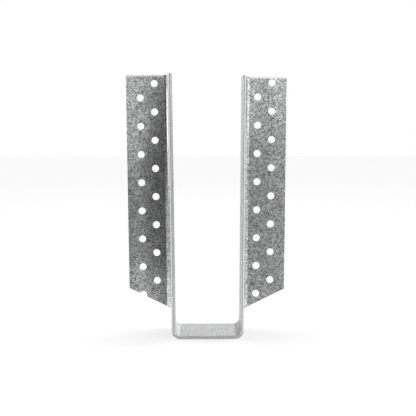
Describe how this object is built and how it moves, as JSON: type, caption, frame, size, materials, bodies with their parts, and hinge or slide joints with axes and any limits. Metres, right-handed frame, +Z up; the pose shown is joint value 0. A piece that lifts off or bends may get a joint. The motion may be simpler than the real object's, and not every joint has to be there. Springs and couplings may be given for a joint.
{
  "type": "joist hanger",
  "caption": "Face-fixing joist hanger: a folded steel U with a flat seat, splayed legs and outward flanges punched with staggered nail holes.",
  "frame": {"origin": "on the underside of the seat, midway between the legs and midway from the joist side to the header side", "axes": "+X from the left leg to the right leg as seen from the joist side, +Y towards the header, +Z up the legs"},
  "size_m": [0.1135, 0.05, 0.1797],
  "materials": {
    "galvanised_sheet": "hot-dip galvanised steel with a fine mottled zinc grain"
  },
  "bodies": {
    "root": {"joist_hanger": "galvanised_sheet"}
  },
  "joints": []
}
